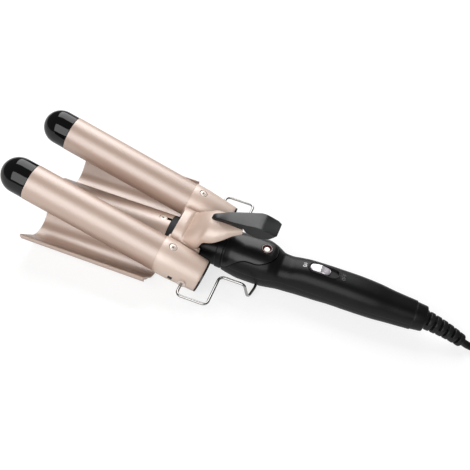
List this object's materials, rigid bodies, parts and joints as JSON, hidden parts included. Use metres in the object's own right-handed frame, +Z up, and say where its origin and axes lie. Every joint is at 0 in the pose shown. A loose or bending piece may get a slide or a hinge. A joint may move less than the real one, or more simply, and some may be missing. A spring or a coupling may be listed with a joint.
{
  "type": "hair multi-styler",
  "caption": "Corded hair styler: heated barrels on a hinged jaw close over a fixed wave plate, with a thumb lever, slide switch, pilot light and folding wire stand.",
  "frame": {"origin": "middle of the flat underside at the front of the grip, on the resting plane", "axes": "+X along the grip towards the cord, +Z up, +Y towards the far barrel; the jaw stands open as pictured"},
  "size_m": [0.4806, 0.152, 0.0629],
  "materials": {
    "rose_gold": "satin rose-gold ceramic coating",
    "rose_housing": "satin rose-gold paint on the moulded yoke",
    "gloss_black": "gloss moulded, heat-resistant",
    "satin_black": "satin moulded grip",
    "lever_black": "semi-gloss moulded",
    "knob_silver": "silver-mauve lacquer",
    "pilot_bezel": "dark translucent ring",
    "pilot_lens": "pale pink, lit",
    "screw_steel": "plated",
    "wire_chrome": "polished",
    "spring_steel": "plain",
    "heater_alu": "plain",
    "inner_plastic": "moulded, inside",
    "board": "laminate",
    "cord_rubber": "matt sheath",
    "tie_fabric": "woven strap",
    "plug_brass": "nickel-plated brass"
  },
  "bodies": {
    "handle": {"handle_lower_shell": "satin_black", "handle_upper_shell": "satin_black", "saddle_cover": "satin_black", "neck_housing": "satin_black", "insulating_collar": "gloss_black", "wave_plate": "rose_gold", "plate_screw": "screw_steel", "middle_heater": "heater_alu", "heater_cover": "satin_black", "indicator_bezel": "pilot_bezel", "indicator_lens": "pilot_lens", "switch_bezel": "satin_black", "switch_block": "inner_plastic", "circuit_board": "board", "rear_collar": "satin_black", "strain_relief": "cord_rubber", "jaw_spring": "spring_steel", "shell_screws": "screw_steel", "power_cord": "cord_rubber", "cord_coil": "cord_rubber", "cord_tail": "cord_rubber", "cord_tie": "tie_fabric", "plug_body": "gloss_black", "plug_pins": "plug_brass"},
    "jaw": {"yoke_housing": "rose_housing", "near_barrel": "rose_gold", "far_barrel": "rose_gold", "near_tip_cap": "gloss_black", "far_tip_cap": "gloss_black", "near_end_cap": "gloss_black", "far_end_cap": "gloss_black", "near_heater": "heater_alu", "far_heater": "heater_alu", "holder_screws": "screw_steel", "thumb_lever": "lever_black", "lever_screw": "screw_steel", "hinge_pin": "spring_steel", "stand_eyelets": "wire_chrome"},
    "stand": {"stand_wire": "wire_chrome"},
    "switch": {"switch_knob": "knob_silver"}
  },
  "joints": [
    {"name": "jaw_hinge", "type": "hinge", "parent": "handle", "child": "jaw", "pos_m": [-0.0362, 0, 0.015], "axis": [0, 1, 0], "range_deg": [-15.5, 6], "stiffness_Nm_per_rad": 0.25, "springref_deg": -51.57},
    {"name": "stand_hinge", "type": "hinge", "parent": "handle", "child": "stand", "pos_m": [-0.0362, 0, 0.015], "axis": [0, 1, 0], "range_deg": [0, 95]},
    {"name": "switch_slide", "type": "slide", "parent": "handle", "child": "switch", "axis": [1, 0, 0], "range_m": [0, 0.0055]}
  ]
}
